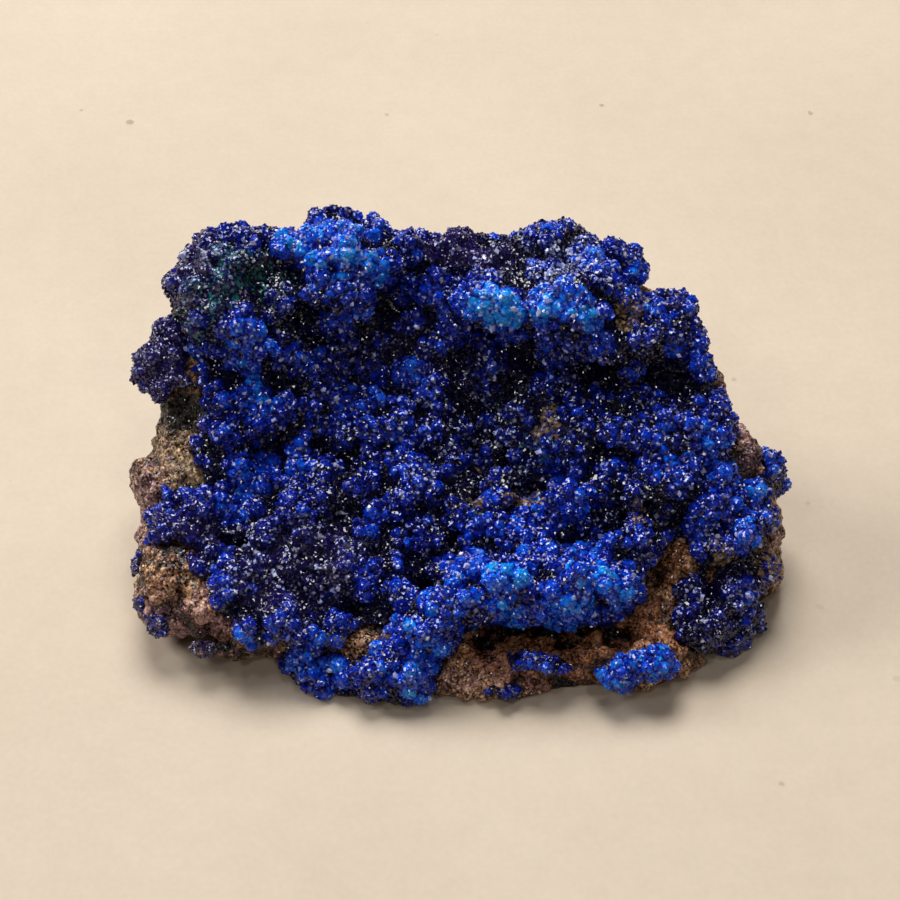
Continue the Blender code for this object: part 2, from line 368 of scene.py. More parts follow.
# Balls half sunk in the skin, joined to it.
def nodulesTree():
    shape = noduleShape
    inputs = placingInputs + (("Smallest", "Float"), ("Largest", "Float"), ("Bare Gap", "Float"))
    graph, start = geometryTree("nodules", inputs)
    seed = start.other("Seed")
    coarse = graph.stored("coarse")
    level = graph.stored("lump") - start.other("Bare Gap") + graph.stored("light") * shape["lightGrowth"]
    grown = graph.ease(level, 0.0, shape["edge"])
    share = (1 - coarse * shape["coarseFewer"]) * grown
    points, _ = pointsOn(graph, start, shape["lowest"], share)
    ball = graph.node("GeometryNodeMeshIcoSphere", None, {"Radius": 1.0, "Subdivisions": 3}, "Mesh")
    turn = randomTurn(graph, seed, shape["turn"])
    spread = start.other("Largest") - start.other("Smallest")
    grade = graph.random(0.0, 1.0, seed + 4) ** shape["mostlySmall"]
    radius = (start.other("Smallest") + grade * spread) * (1 + coarse * shape["coarseLarger"])
    values = {
        axis: radius * graph.random(*shape["squash"], seed + (7 + step)) for step, axis in enumerate("XYZ")
    }
    stretch = graph.node("ShaderNodeCombineXYZ", None, values)
    balls = setOn(graph, points, (ball,), turn, stretch, seed)
    sized = graph.keepNumber(graph.keepNumber(balls, "size", radius), "lump", graph.stored("lump"))
    real = graph.node("GeometryNodeRealizeInstances", None, {"Geometry": sized})
    both = graph.node("GeometryNodeJoinGeometry")
    for part in (real, start.other("Geometry")):
        graph.tree.links.new(part.socket, both.socket.node.inputs[0])
    graph.node("NodeGroupOutput", None, {"Geometry": both})
    return graph.tree


# A small tapered crystal with a sloping end, standing on the origin. Its width and length are about 1.
def crystalShape(graph, sides, topWidth, slope, flatness):
    values = {"Vertices": sides, "Radius Top": topWidth / 2, "Radius Bottom": 0.5, "Depth": 1.0}
    cone = graph.node("GeometryNodeMeshCone", {"fill_type": "NGON"}, values, "Mesh")
    parts = graph.node("ShaderNodeSeparateXYZ", None, {0: graph.node("GeometryNodeInputPosition")})
    lift = parts.other("Z") * parts.other("X") * slope
    offset = graph.node("ShaderNodeCombineXYZ", None, {"Z": lift})
    sloped = graph.node("GeometryNodeSetPosition", None, {"Geometry": cone, "Offset": offset})
    values = {"Geometry": sloped, "Scale": (1, flatness, 1), "Translation": (0, 0, -0.5)}
    return graph.node("GeometryNodeTransform", None, values)


crystalGrowth = {
    "lowest": 0.4 * mm,  # height over the table
    "mostlySmall": 4.0,
    "usual": (0.7, 1.15),
}


# Small crystals standing all over a skin, where it is clear of its neighbour and of the table.
def coverTree(name, shapes, material):
    growth = crystalGrowth
    inputs = placingInputs + (
        ("Width", "Float"),
        ("Length", "Float"),
        ("Lean", "Float"),
        ("Spread", "Float"),
        ("Keep Skin", "Bool"),
    )
    graph, start = geometryTree(name, inputs)
    seed = start.other("Seed")
    points, rotation = pointsOn(graph, start, growth["lowest"])
    values = {"Rotation": rotation, "Rotate By": randomTurn(graph, seed, start.other("Lean"))}
    turn = graph.node("FunctionNodeRotateRotation", {"rotation_space": "LOCAL"}, values)
    extra = graph.random(0.0, 1.0, seed + 4) ** growth["mostlySmall"] * start.other("Spread")
    size = extra + graph.random(*growth["usual"], seed + 10)
    width = start.other("Width") * size
    values = {"X": width, "Y": width, "Z": start.other("Length") * size}
    scale = graph.node("ShaderNodeCombineXYZ", None, values)
    made = [crystalShape(graph, *shape) for shape in shapes]
    placed = setOn(graph, points, made, turn, scale, seed)
    real = graph.node("GeometryNodeRealizeInstances", None, {"Geometry": placed})
    values = {"Geometry": real, "Shade Smooth": False}
    flat = graph.node("GeometryNodeSetShadeSmooth", None, values)
    values = {"Switch": start.other("Keep Skin"), "True": start.other("Geometry")}
    skin = graph.node("GeometryNodeSwitch", {"input_type": "GEOMETRY"}, values)
    both = graph.node("GeometryNodeJoinGeometry")
    for part in (flat, skin):
        graph.tree.links.new(part.socket, both.socket.node.inputs[0])
    dressed = graph.node("GeometryNodeSetMaterial", None, {"Geometry": both, "Material": material})
    graph.node("NodeGroupOutput", None, {"Geometry": dressed})
    return graph.tree


# Places on the display face, in millimetres.
def faceCoordinates(points):
    offset = (points - faceMiddle) / mm
    up = offset[:, 1] * math.cos(faceLean) + offset[:, 2] * math.sin(faceLean)
    return offset[:, 0], up


# Holes and hollows between the nodules: sunk into the skin and, as painted shade, darkened in the colour.
hollowZones = (
    (8.2, -4.2, 2.9, 1.4, 1.0),
    (2.2, -5.0, 1.6, 0.8, 0.7),
    (5.6, 0.2, 0.9, 1.4, 0.7),
    (8.2, 3.0, 0.8, 1.3, 0.7),
    (19.6, -8.8, 2.4, 1.6, 1.0),
    (14.7, -11.2, 3.2, 0.8, 1.0),
    (21.2, -5.3, 1.2, 2.4, 0.8),
    (19.0, 1.0, 1.0, 1.0, 0.7),
    (29.5, 0.5, 0.9, 0.9, 0.7),
    (33.3, -1.8, 0.9, 0.8, 0.7),
    (25.9, -5.7, 1.4, 0.9, 0.8),
    (2.7, -11.7, 1.5, 1.0, 0.9),
    (-1.0, -12.2, 1.4, 1.8, 1.0),
    (-4.8, -16.6, 2.2, 1.2, 1.0),
    (-5.2, -6.7, 1.4, 0.9, 0.6),
    (-16.9, -7.5, 1.3, 0.9, 0.6),
    (-20.0, -16.5, 1.6, 1.0, 0.6),
    (-31.0, -11.4, 2.4, 0.9, 1.0),
    (-14, -20.5, 2.2, 1.2, 0.7),
    (-20.5, 15.5, 2.5, 1.2, 0.8),
    (-24.8, 17.0, 1.8, 2.0, 0.7),
    (-10.5, 21.0, 1.6, 2.0, 0.7),
    (17.5, 11.5, 3.0, 1.0, 0.8),
    (27, 10.2, 3.0, 1.0, 0.8),
    (-37.8, 9.0, 2.0, 1.4, 0.7),
)

# Zones on the display face, in millimetres: across, up, half width, half height, amount.
azuriteZones = {
    "hollow": hollowZones,
    "light": (
        (11, -18, 14, 5, 0.32),  # light ridge
        (3, -18, 5, 3.5, 0.12),
        (19, -17, 5, 4, 0.1),
        (-5, -24, 3.5, 5, 0.3),
        (-19, -28.7, 4.5, 3, 0.35),  # rims of the front lobe
        (-6.3, -31, 3.5, 2.5, 0.3),
        (8, 20.5, 8, 3, 0.58),  # light band
        (2.5, 22, 3.5, 2.5, 0.15),
        (20, 19, 5.5, 3.5, 0.3),
        (-17.5, 28, 7, 4.5, 0.42),  # crest
        (-13, 23, 5, 4, 0.25),
        (-27.5, 15, 5, 4, 0.2),
        (31, -2, 10, 5, 0.1),  # right field
        (35, 2, 5, 4, 0.15),
        (40, -3.4, 3.5, 5, 0.25),
        (38.5, -10, 2, 4, 0.3),
        (-29, 9, 4.5, 4.5, 0.22),  # left margin
        (-31, -4, 3.5, 6, 0.22),
        (-8.4, 8, 6, 5, 0.15),  # middle of the basin
        (-28, -21, 4.5, 4.5, 0.2),
        (9, -9, 9, 4, 0.14),  # above the ridge
        (20, 26.5, 5, 2.5, 0.25),
        (32, 10.5, 3.5, 3, 0.15),
        (-12, -26, 8, 4, 0.1),
        (38, -18.5, 2.5, 2.5, 0.25),
        (-16.4, 18, 13, 4.5, -0.06),  # painted shade in the recess below the crest
        (0.4, 28.3, 4, 3.5, -0.3),  # dark knob
        (24, 9.4, 12, 4, -0.07),  # painted shade in the recess below the block
        (-22, -15.5, 8, 6, -0.2),
        (2, 5, 7, 6, -0.2),
        (34, -20, 7, 6, -0.2),
        (-36, 24, 8, 7, -0.2),
        # painted shade below the block
        (14, 12, 8, 3, -0.04),
    ),
    "green": (
        (-28.6, 23.6, 6, 5, 0.31),
        (-35.4, 19.2, 4, 5, 0.34),
        (-33, 27, 4, 2, 0.3),
        (11, 1.5, 5, 3.5, 0.34),
        (3, -8.4, 3, 2, 0.34),
        (-10, 13, 4, 3, 0.25),
        (15, -20, 3, 2, 0.2),
    ),
    # where the painted highlights are denser
    "pale": (
        (12, 26.5, 9, 3.5, 2.4),
        (-33, 23, 8, 6, 0.6),
        (-22, -15, 8, 6, 0.5),
        (34, -18, 7, 6, 0.4),
        (-40, 13, 5, 5, 0.5),
        (8, 20.5, 8, 3, 0.8),
        (-17, 28, 6, 4, 0.8),
        (0, 4, 10, 8, 0.3),
    ),
    "violet": (
        (-36, 24, 7, 6, 0.5),
        (0.4, 28.3, 4, 3.5, 0.8),
        (-22, -15.5, 9, 7, 0.4),
        (34, -20, 8, 7, 0.2),
        (-5, 15, 14, 6, 0.2),
        (-38, -11, 5, 5, 0.5),
    ),
    "dust": (
        (8.5, -6.4, 3.2, 0.9, 0.6),
        (2, -7.0, 2, 1, 0.5),
        (23.6, -7, 2, 1.3, 0.6),
        (11, 3.2, 2.6, 2.2, 0.8),
        (23.3, 19.5, 1.6, 2, 0.8),
        (-14, -24.3, 5, 1.2, 0.5),
        (34.5, -13.6, 2.4, 1.2, 0.8),
        (41.5, -14, 1.4, 6, 0.5),
        (-38, -19, 4, 2.5, 0.35),
    ),
}

# Where the nodules are larger.
coarseZones = (
    (-33, 22, 9, 9, 0.8),
    (-41, 13, 5, 6, 0.5),
    (-17, 28, 7, 4, 0.4),
    (15, 24, 14, 4, 0.3),
    (11, -19, 14, 5, 0.45),
    (-11, -29, 12, 5, 0.5),
    (-28, -22, 6, 6, 0.5),
    (24, -29, 7, 4, 0.3),
    (34, -8, 10, 14, 0.25),
)

rockZones = {
    "swell": ((39.5, 10.5, 3.5, 4.5, 0.6),),  # right shoulder
    # hollows: sunk into the skin and darkened in the colour as painted shade
    "hollow": (
        (6.8, -23.6, 3.4, 1.5, 1.0),  # under the ridge
        (11.5, -24.1, 2.2, 1.1, 0.8),
        (17.2, -23.4, 1.9, 0.9, 0.9),
        (21.5, -24.4, 2.1, 1.4, 0.9),
        (2.8, -25.3, 1.5, 1.7, 0.8),
        (14, -31, 2.2, 0.8, 0.8),
        (-33, -25.3, 2.4, 0.9, 0.9),  # lower left rim
        (-38, 6, 4, 3, 0.6),  # shade under the left lobe
        (-35.5, -5.2, 1.2, 1.4, 0.9),
    ),
    "orange": (
        (13, -25, 16, 6, 1.0),  # cavity
        (28, -17, 4, 8, 0.55),
        (-35, -20, 8, 7, 0.45),
    ),
    "olive": (
        (-38, 2, 6, 7, 0.6),
        (-36, -4, 3, 4, 0.5),
        (-30.5, -11, 3, 2, 0.8),
        (11, 3, 4, 3, 0.7),
    ),
    "lilac": (
        (-43, -7, 4, 6, 0.5),
        (-38, -23, 6, 5, 0.8),
        (42, -4, 6, 12, 0.45),
        (38, 8, 5, 9, 0.4),
        (-30, -27, 8, 3, 0.45),
        (5, -31, 12, 3, 0.3),
    ),
    "tan": (
        (-34, 0.5, 1.2, 3.5, 0.6),
        (-37, -5, 2.4, 1.8, 0.6),
        (-40.5, -8.5, 1.6, 2.6, 0.5),
        (-38, -19.5, 3, 3, 0.45),
        (-27, -26, 4, 1.6, 0.5),
    ),
}


waves = 6


# Smooth random numbers about 0 that vary over that size.
def ripple(points, size, seed):
    draw = np.random.default_rng(seed)
    total = np.zeros(len(points))
    for _ in range(waves):
        direction = draw.normal(size=3)
        direction /= np.linalg.norm(direction)
        pitch = size * mm * draw.uniform(0.7, 1.5)
        total += np.sin(points @ direction * (2 * math.pi / pitch) + draw.uniform(0, 6.28))
    return total / waves


# The ragged edge of a zone, in millimetres, and the share of its half width at which it fades.
zoneEdge = {"wave": 2.2, "waveSize": 5, "ruffle": 0.9, "ruffleSize": 1.6, "reach": 1.35, "fade": 0.7}
holeWobble = 0.3  # holes keep closer to their places


def raggedness(points, seed):
    wave = zoneEdge["wave"] * ripple(points, zoneEdge["waveSize"], seed)
    return wave + zoneEdge["ruffle"] * ripple(points, zoneEdge["ruffleSize"], seed + 1)


def zoneAmount(points, zones, seed, wobble=1.0):
    across, up = faceCoordinates(points)
    across = across + wobble * raggedness(points, seed)
    up = up + wobble * raggedness(points, seed + 2)
    total = np.zeros(len(points))
    for middleAcross, middleUp, halfAcross, halfUp, amount in zones:
        distance = np.hypot((across - middleAcross) / halfAcross, (up - middleUp) / halfUp)
        total += amount * np.clip((zoneEdge["reach"] - distance) / zoneEdge["fade"], 0, 1)
    return total


def storeNumbers(mesh, name, numbers):
    attribute = mesh.attributes.get(name) or mesh.attributes.new(name, "FLOAT", "POINT")
    attribute.data.foreach_set("value", numbers.astype(np.float32))


def storeVectors(mesh, name, vectors):
    attribute = mesh.attributes.get(name) or mesh.attributes.new(name, "FLOAT_VECTOR", "POINT")
    attribute.data.foreach_set("vector", vectors.astype(np.float32).ravel())


def storedNumbers(mesh, name):
    numbers = np.empty(len(mesh.vertices), np.float32)
    mesh.attributes[name].data.foreach_get("value", numbers)
    return numbers.astype(float)


def storedVectors(mesh, name):
    vectors = np.empty(len(mesh.vertices) * 3, np.float32)
    mesh.attributes[name].data.foreach_get("vector", vectors)
    return vectors.reshape(-1, 3).astype(float)


def vertexPlaces(mesh):
    places = np.empty(len(mesh.vertices) * 3, np.float32)
    mesh.vertices.foreach_get("co", places)
    return places.reshape(-1, 3).astype(float)


# In millimetres: how high above its ball a point counts as in a hole, and how wide a crease is. The
# materials paint shade into holes and creases.
creaseSizes = {"holeFrom": 0.1, "holeSpan": 0.4, "width": 0.25}


# The balls of one skin: where each one is, how big, and its share of each zone.
class Nodules:
    def __init__(self, mesh, zoneSets, shift):
        size = storedNumbers(mesh, "size")
        balls = size > 0
        seats = storedVectors(mesh, "seat")[balls]
        _, first = np.unique(np.round(seats, 7), axis=0, return_index=True)
        centres = seats[first]
        self.radii = size[balls][first]
        self.tree = kdtree.KDTree(len(first))
        for number, centre in enumerate(centres):
            self.tree.insert(centre, number)
        self.tree.balance()
        self.numbers = {
            "nodule": storedNumbers(mesh, "toss")[balls][first],
            "lump": storedNumbers(mesh, "lump")[balls][first],
        }
        for seed, (name, zones) in enumerate(zoneSets.items()):
            wobble = holeWobble if name == "hollow" else 1.0
            amount = zoneAmount(centres, zones, seed * 10, wobble)
            self.numbers[name] = amount + shift.get(name, 0)

    # The ball under a point, the point's height above it, and how far it is from the crease with the next.
    def under(self, point):
        nearest = self.tree.find_n(point, 5)
        found = sorted((distance - self.radii[number], number) for _, number, distance in nearest)
        return found[0][1], found[0][0], found[1][0] - found[0][0]

    # Gives each point of the mesh the numbers of the ball that it belongs to, and how far it is out of
    # holes and creases, where the materials paint shade.
    def mark(self, mesh):
        seats = storedVectors(mesh, "seat")
        unique, inverse = np.unique(seats, axis=0, return_inverse=True)
        number, height, crease = np.array([self.under(seat) for seat in unique])[inverse.ravel()].T
        for name, numbers in self.numbers.items():
            storeNumbers(mesh, name, numbers[number.astype(int)])
        inHole = np.clip((height / mm - creaseSizes["holeFrom"]) / creaseSizes["holeSpan"], 0, 1)
        storeNumbers(mesh, "open", (1 - inHole) * np.clip(crease / mm / creaseSizes["width"], 0, 1))


def newMaterial(name):
    material = bpy.data.materials.new(name)
    material.use_nodes = True
    material.node_tree.nodes.clear()
    return material, Graph(material.node_tree)


def attributeValue(graph, name):
    return graph.node("ShaderNodeAttribute", {"attribute_name": name}, out="Fac")


# Breaks the surface into small flat faces: gives each one its own normal and three random numbers.
def facets(graph, place, size, tilt):
    values = {"Vector": place, "Scale": 1 / size}
    cell = graph.node("ShaderNodeTexVoronoi", {"feature": "F1"}, values, "Color")
    turned = graph.vector("SCALE", graph.vector("SUBTRACT", cell, (0.5, 0.5, 0.5)), scale=tilt * 2)
    straight = graph.node("ShaderNodeTexCoord", out="Normal")
    normal = graph.vector("NORMALIZE", graph.vector("ADD", straight, turned))
    own = graph.node("ShaderNodeTexWhiteNoise", None, {"Vector": cell}, "Color")
    numbers = graph.node("ShaderNodeSeparateXYZ", None, {0: own})
    return normal, numbers, numbers.other("Y"), numbers.other("Z")


azuriteLook = {
    "tone": 0.41,
    "noduleSpread": 0.4,
    "crystalSpread": 0.18,
    "facetSpread": 0.28,
    "mottleSize": 1.1 * mm,
    "mottleSpread": 0.2,
    "broadSize": 5 * mm,
    "broadSpread": 0.6,
    # painted shade in creases, gaps and hollows
    "creviceShade": 0.65,
    "creviceCurve": 1.3,
    "gapShade": 0.3,
    "hollowShade": 0.9,
    "paintedGlintShare": 0.085,
    "paintedGlintByCrystal": False,  # a whole crystal takes the painted glint colour, or one facet
    "roughness": 0.11,
    "ior": 1.62,
    "facet": 0.36 * mm,
    "facetTilt": 0.5,
    "blues": (
        (0.0, (0.001, 0.001, 0.018)),
        (0.15, (0.001, 0.003, 0.1)),
        (0.35, (0.001, 0.01, 0.29)),
        (0.56, (0.001, 0.032, 0.56)),
        (0.78, (0.001, 0.12, 0.88)),
        (1.0, (0.003, 0.32, 0.98)),
    ),
    "speckle": (2.4, 1.6, 1.6),  # by mottle, crystal and facet
    "violetSpread": 0.8,
    "greenStrength": 0.75,
    "dustRoughness": 0.35,
    "violet": (0.018, 0.01, 0.1, 1),
    # colour of the painted highlights
    "pale": (0.52, 0.6, 0.97, 1),
    "green": (0.01, 0.22, 0.19, 1),
    "dust": (0.05, 0.022, 0.008, 1),
    "paleDust": (0.34, 0.22, 0.09, 1),
}


# Larger crystals have plain faces, and more of them take the painted glint colour as painted highlights.
plainAzuriteLook = {
    **azuriteLook,
    "facet": 5 * mm,
    "facetTilt": 0.2,
    "paintedGlintShare": 0.55,
    "paintedGlintByCrystal": True,
    "pale": (0.62, 0.66, 0.95, 1),
}


def azuriteMaterial(name, look):
    material, graph = newMaterial(name)
    place = graph.node("ShaderNodeTexCoord", out="Object")
    toss = attributeValue(graph, "toss")
    nodule = attributeValue(graph, "nodule")
    broad = graph.noise(place, look["broadSize"], 2.0)
    mottle = graph.noise(place, look["mottleSize"], 3.0)
    closed = (1 - attributeValue(graph, "open")) ** look["creviceCurve"]
    normal, first, second, third = facets(graph, place, look["facet"], look["facetTilt"])
    light = attributeValue(graph, "light")
    hollow = attributeValue(graph, "hollow")
    # Painted shade: the tone is lowered in creases and holes between balls, in the gaps between lumps and
    # in the listed hollows.
    tone = (
        light
        + look["tone"]
        + (nodule - 0.5) * look["noduleSpread"]
        + (toss - 0.5) * look["crystalSpread"]
        + (first - 0.5) * look["facetSpread"]
        + (mottle - 0.5) * look["mottleSpread"]
        + (broad - 0.5) * look["broadSpread"]
        - closed * look["creviceShade"]
        - graph.ease(attributeValue(graph, "lump"), 0.6, 0.1) * look["gapShade"] * (1 - light)
        - hollow * look["hollowShade"]
    )
    blue = graph.node("ShaderNodeValToRGB", {"stops": look["blues"]}, {"Fac": tone})
    violetSum = attributeValue(graph, "violet") + (toss - 0.5) * look["violetSpread"]
    violetPart = graph.ease(violetSum, 0.05, 0.75)
    violet = graph.blend(violetPart, blue, look["violet"])
    byMottle, byCrystal, byFacet = look["speckle"]
    speckle = 1 + (mottle - 0.5) * byMottle + (toss - 0.5) * byCrystal + (second - 0.5) * byFacet
    greenSum = attributeValue(graph, "green") * (speckle * 0.9 + closed * 0.4)
    green = graph.blend(graph.ease(greenSum, 0.45, 0.7) * look["greenStrength"], violet, look["green"])
    dustSum = attributeValue(graph, "dust") * speckle
    dustSpots = graph.ease(dustSum, 0.35, 0.5) * (1 - graph.ease(hollow, 0.1, 0.6))
    dust = graph.blend(graph.ease(third, 0.2, 1.0), look["dust"], look["paleDust"])
    dusty = graph.blend(dustSpots, green, dust)
    # Painted highlights: a share of facets or whole crystals, more in the listed zones, is blended towards
    # pale lavender-white as glints, only out of creases.
    glintNumber = toss if look["paintedGlintByCrystal"] else third
    glintStart = 1 - look["paintedGlintShare"] * (0.8 + attributeValue(graph, "pale") * 2)
    paintedGlintPart = graph.ease(glintNumber, glintStart, 1.0) * attributeValue(graph, "open")
    colour = graph.blend(paintedGlintPart, dusty, look["pale"])
    values = {
        "Base Color": colour,
        "Roughness": look["roughness"] + dustSpots * look["dustRoughness"],
        "IOR": look["ior"],
        "Normal": normal,
    }
    shader = graph.node("ShaderNodeBsdfPrincipled", None, values)
    graph.node("ShaderNodeOutputMaterial", None, {"Surface": shader})
    return material


rockLook = {
    "earth": (
        (0.15, (0.004, 0.002, 0.001)),
        (0.35, (0.04, 0.014, 0.005)),
        (0.5, (0.15, 0.062, 0.022)),
        (0.65, (0.33, 0.16, 0.062)),
        (0.88, (0.74, 0.5, 0.28)),
    ),
    "orange": (0.34, 0.105, 0.022, 1),
    "olive": (0.10, 0.09, 0.025, 1),
    "lilac": (0.2, 0.1, 0.22, 1),
    "tan": (0.50, 0.30, 0.14, 1),
    "tints": {  # how spread and how strong, in the order of laying on
        "orange": (0.8, 0.65),
        "olive": (0.7, 0.6),
        "lilac": (1.2, 0.65),
        "tan": (0.6, 0.8),
    },
    "tone": 0.6,
    "broadSize": 7 * mm,
    "broadSpread": 0.8,
    "mottleSize": 1.6 * mm,
    "mottleSpread": 0.5,
    "grainSpread": 0.6,
    "noduleSpread": 0.25,
    # painted shade in creases and hollows
    "creviceShade": 0.3,
    "hollowShade": 0.9,
    "roughness": 0.4,
    "grain": 0.26 * mm,
    "grainTilt": 0.4,
    "glossyGrains": 0.35,
}


def rockMaterial():
    look = rockLook
    material, graph = newMaterial("ironOxideRock")
    place = graph.node("ShaderNodeTexCoord", out="Object")
    nodule = attributeValue(graph, "nodule")
    uncreased = attributeValue(graph, "open")
    broad = graph.noise(place, look["broadSize"], 3.0)
    mottle = graph.noise(place, look["mottleSize"], 3.0)
    normal, grain, kind, third = facets(graph, place, look["grain"], look["grainTilt"])
    # Painted shade: the tone is lowered in creases between grains and in the listed hollows.
    mixed = (
        (broad - 0.5) * look["broadSpread"]
        + (mottle - 0.5) * look["mottleSpread"]
        + (grain - 0.5) * look["grainSpread"]
        + (nodule - 0.5) * look["noduleSpread"]
        - (1 - uncreased) * look["creviceShade"]
        - attributeValue(graph, "hollow") * look["hollowShade"]
        + look["tone"]
    )
    earth = graph.node("ShaderNodeValToRGB", {"stops": look["earth"]}, {"Fac": mixed})

    def tinted(zone, spread, strength, under):
        total = attributeValue(graph, zone) + (third - 0.5) * spread + (mottle - 0.5) * 0.8
        amount = graph.ease(total, 0.1, 0.8) * strength * graph.ease(mixed, 0.15, 0.5)
        return graph.blend(amount, under, look[zone])

    colour = earth
    for zone, (spread, strength) in look["tints"].items():
        colour = tinted(zone, spread, strength, colour)
    # Darker again where the tone is low, which deepens the painted shade of creases and hollows as well as
    # the grains' own dark tone.
    colour = graph.blend(1.0, colour, graph.ease(mixed, 0.25, 0.75, 0.5, 1.3), "MULTIPLY")
    gloss = graph.ease(kind, 0.7, 0.8) * look["glossyGrains"]
    values = {"Base Color": colour, "Roughness": look["roughness"] - gloss, "Normal": normal}
    shader = graph.node("ShaderNodeBsdfPrincipled", None, values)
    graph.node("ShaderNodeOutputMaterial", None, {"Surface": shader})
    return material


def finishPiece(piece, node):
    places = vertexPlaces(piece.data)
    places[:, 2] = np.maximum(places[:, 2], 0)
    piece.data.vertices.foreach_set("co", places.astype(np.float32).ravel())
    piece.data.update()
    piece.data.validate()
    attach(piece, "root")
    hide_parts(node)
    print(piece.name, triangleCount(piece))


# sides, width at the top, slope of the end, thickness
crystalShapes = (
    (4, 0.75, 0.5, 0.75),
    (4, 0.85, 0.3, 0.5),
    (5, 0.6, 0.6, 0.9),
    (4, 0.4, 0.8, 0.6),
)

druseSizes = {
    "cell": 0.45 * mm,
    "lumps": {
        "Inset": 0.85 * mm,
        "Hollow Depth": 3.4 * mm,
        "Big Cell": 4.0 * mm,
        "Big Height": 2.1 * mm,
        "Small Cell": 2.0 * mm,
        "Small Height": 0.3 * mm,
        "Grain Size": 1.0 * mm,
        "Grain Height": 0.2 * mm,
        "Reach": 1.0 * mm,
    },
    "nodules": {
        "Spacing": 1.15 * mm,
        "Smallest": 0.55 * mm,
        "Largest": 1.15 * mm,
        "Clear": 0.5 * mm,
        "Bare Gap": 0.22,
    },
    "fusedCell": 0.28 * mm,
    "triangles": 190000,
    "chips": {
        "Grain Size": 0.5 * mm,
        "Grain Height": 0.36 * mm,
        "Reach": 0.6 * mm,
    },
    "crystals": {
        "Spacing": 0.55 * mm,
        "Width": 0.46 * mm,
        "Length": 0.22 * mm,
        "Lean": 0.5,
        "Spread": 0.9,
        "Clear": 0.5 * mm,
    },
}
patchSizes = {
    "cell": 0.4 * mm,
    "lumps": {
        "Inset": 0.45 * mm,
        "Hollow Depth": 1.0 * mm,
        "Big Cell": 3.0 * mm,
        "Big Height": 0.6 * mm,
        "Small Cell": 1.5 * mm,
        "Small Height": 0.2 * mm,
        "Grain Size": 1.0 * mm,
        "Grain Height": 0.2 * mm,
        "Reach": 0.7 * mm,
    },
    "nodules": {
        "Spacing": 0.95 * mm,
        "Smallest": 0.42 * mm,
        "Largest": 0.95 * mm,
        "Clear": 0.36 * mm,
        "Bare Gap": 0.15,
    },
    "fusedCell": 0.26 * mm,
    "chips": druseSizes["chips"],
    "crystals": {**druseSizes["crystals"], "Spacing": 0.52 * mm, "Clear": 0.36 * mm},
}

# No lumps, for the pass that only chips the skin.
plainLumps = {
    "Inset": 0.0,
    "Hollow Depth": 0.0,
    "Big Cell": mm,
    "Big Height": 0.0,
    "Small Cell": mm,
    "Small Height": 0.0,
}
everywhere = {"From X": -1.0, "To X": 1.0}
zoneSeeds = {"hollow": 55, "swell": 66, "coarse": 77, "light": 10}

azurite = azuriteMaterial("azuriteCrystal", azuriteLook)
plainAzurite = azuriteMaterial("plainAzuriteCrystal", plainAzuriteLook)
brownRock = rockMaterial()
lumps = lumpsTree()
nodules = nodulesTree()
crystals = coverTree("crystals", crystalShapes, azurite)
largeCrystals = coverTree("largeCrystals", crystalShapes[:3], plainAzurite)
print("materials and node trees are made")


# A copy of the node with its skin lumpy and covered with fused balls, and the balls.
def knobblySkin(node, name, sizes, neighbour, seed, triangles, material, zones, shift):
    skin = copyOfNode(node, name)
    remeshed(skin, sizes["cell"], 3)
    places = vertexPlaces(skin.data)
    swell = zoneAmount(places, zones.get("swell", ()), zoneSeeds["swell"], holeWobble)
    hollow = zoneAmount(places, zones["hollow"], zoneSeeds["hollow"], holeWobble)
    storeNumbers(skin.data, "hollow", hollow - swell)
    skin.data = runTree(skin, lumps, {**sizes["lumps"], "Neighbour": neighbour})
    places = vertexPlaces(skin.data)
    light = zoneAmount(places, zones.get("light", ()), zoneSeeds["light"])
    storeNumbers(skin.data, "coarse", zoneAmount(places, coarseZones, zoneSeeds["coarse"]))
    storeNumbers(skin.data, "light", np.maximum(light, 0))
    skin.data = runTree(
        skin, nodules, {**sizes["nodules"], **everywhere, "Neighbour": neighbour, "Seed": seed}
    )
    balls = Nodules(skin.data, zones, shift)
    print(name, "nodules", len(balls.radii))
    remeshed(skin, sizes["fusedCell"], 1)
    print(name, "fused", triangleCount(skin))
    thinned(skin, triangles)
    skin.data = runTree(skin, lumps, {**plainLumps, **sizes["chips"], "Neighbour": neighbour})
    skin.data.shade_flat()
    skin.data.materials.clear()
    skin.data.materials.append(material)
    storeVectors(skin.data, "seat", vertexPlaces(skin.data))
    storeNumbers(skin.data, "toss", 0.5 + 0.5 * ripple(vertexPlaces(skin.data), 0.6, seed))
    return skin, balls


def grownOn(skin, tree, name, sizes, seed, neighbour, fromX=-1.0, toX=1.0, keepSkin=False):
    values = {**sizes, "Seed": seed, "Neighbour": neighbour, "Keep Skin": keepSkin}
    values.update({"From X": fromX, "To X": toX})
    return newPiece(name, runTree(skin, tree, values))


skin, balls = knobblySkin(
    mainDruse, "druseSkin", druseSizes, rock, 7, druseSizes["triangles"], azurite, azuriteZones, {}
)
glintSizes = {
    "Spacing": 1.7 * mm,
    "Width": 0.7 * mm,
    "Length": 0.5 * mm,
    "Lean": 0.3,
    "Spread": 0.8,
    "Clear": 0.6 * mm,
}
large = grownOn(skin, largeCrystals, "druseLargeCrystals", glintSizes, 21, rock)
balls.mark(large.data)
finishPiece(large, "main_druse")
cutsX = (-1.0, -24 * mm, -9 * mm, 6 * mm, 21 * mm, 1.0)  # the crystals are in five pieces, left to right
for number, span in enumerate(zip(cutsX, cutsX[1:]), 1):
    name = f"druseCrystals{number}"
    part = grownOn(skin, crystals, name, druseSizes["crystals"], 7, rock, *span)
    balls.mark(part.data)
    finishPiece(part, "main_druse")
balls.mark(skin.data)
finishPiece(skin, "main_druse")

